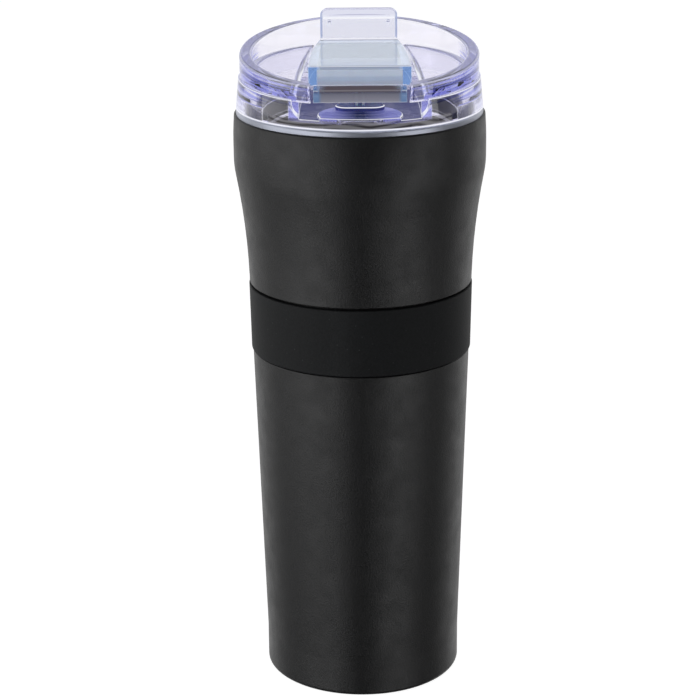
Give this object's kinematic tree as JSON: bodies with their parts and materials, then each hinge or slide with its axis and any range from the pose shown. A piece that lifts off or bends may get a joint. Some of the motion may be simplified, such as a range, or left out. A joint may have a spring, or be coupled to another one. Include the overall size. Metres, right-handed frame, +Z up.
{
  "type": "insulated tumbler",
  "caption": "Tall double-wall steel tumbler with a silicone grip band and a push-in clear lid whose flip lever opens the drink slot.",
  "frame": {"origin": "centre of the foot, on the table plane", "axes": "+Z up the tumbler's axis towards the lid; the drinking mouth faces -Y and the thumb tab is at the back, +Y; the lever's hinge runs along X"},
  "size_m": [0.0828, 0.0828, 0.2254],
  "materials": {
    "powder_coat": "matte black powder coat",
    "steel": "satin stainless",
    "copper": "bright copper foil",
    "getter": "pressed powder",
    "bead_glass": "solder glass",
    "cover": "matte black powder coat",
    "grip_silicone": "matte black silicone",
    "clear_lid": "clear, violet tint, polished",
    "gasket_silicone": "translucent silicone",
    "clear_lever": "clear, blue tint, polished",
    "milky_silicone": "milky pale blue-grey silicone"
  },
  "bodies": {
    "cup": {"outer_shell": "powder_coat", "inner_liner": "steel", "liner_bottom": "steel", "outer_bottom": "powder_coat", "copper_foil": "copper", "getter_cup": "steel", "getter_pellet": "getter", "sealing_bead": "bead_glass", "base_cover": "cover", "grip_band": "grip_silicone"},
    "lid": {"lid_body": "clear_lid", "lid_gasket": "gasket_silicone"},
    "lever": {"lever": "clear_lever", "lever_stopper": "milky_silicone"}
  },
  "joints": [
    {"name": "lid_lift", "type": "slide", "parent": "cup", "child": "lid", "axis": [0, 0, 1], "range_m": [0, 0.06]},
    {"name": "lever_flip", "type": "hinge", "parent": "lid", "child": "lever", "pos_m": [0, 0.013, 0.2065], "axis": [-1, 0, 0], "range_deg": [0, 85]}
  ]
}
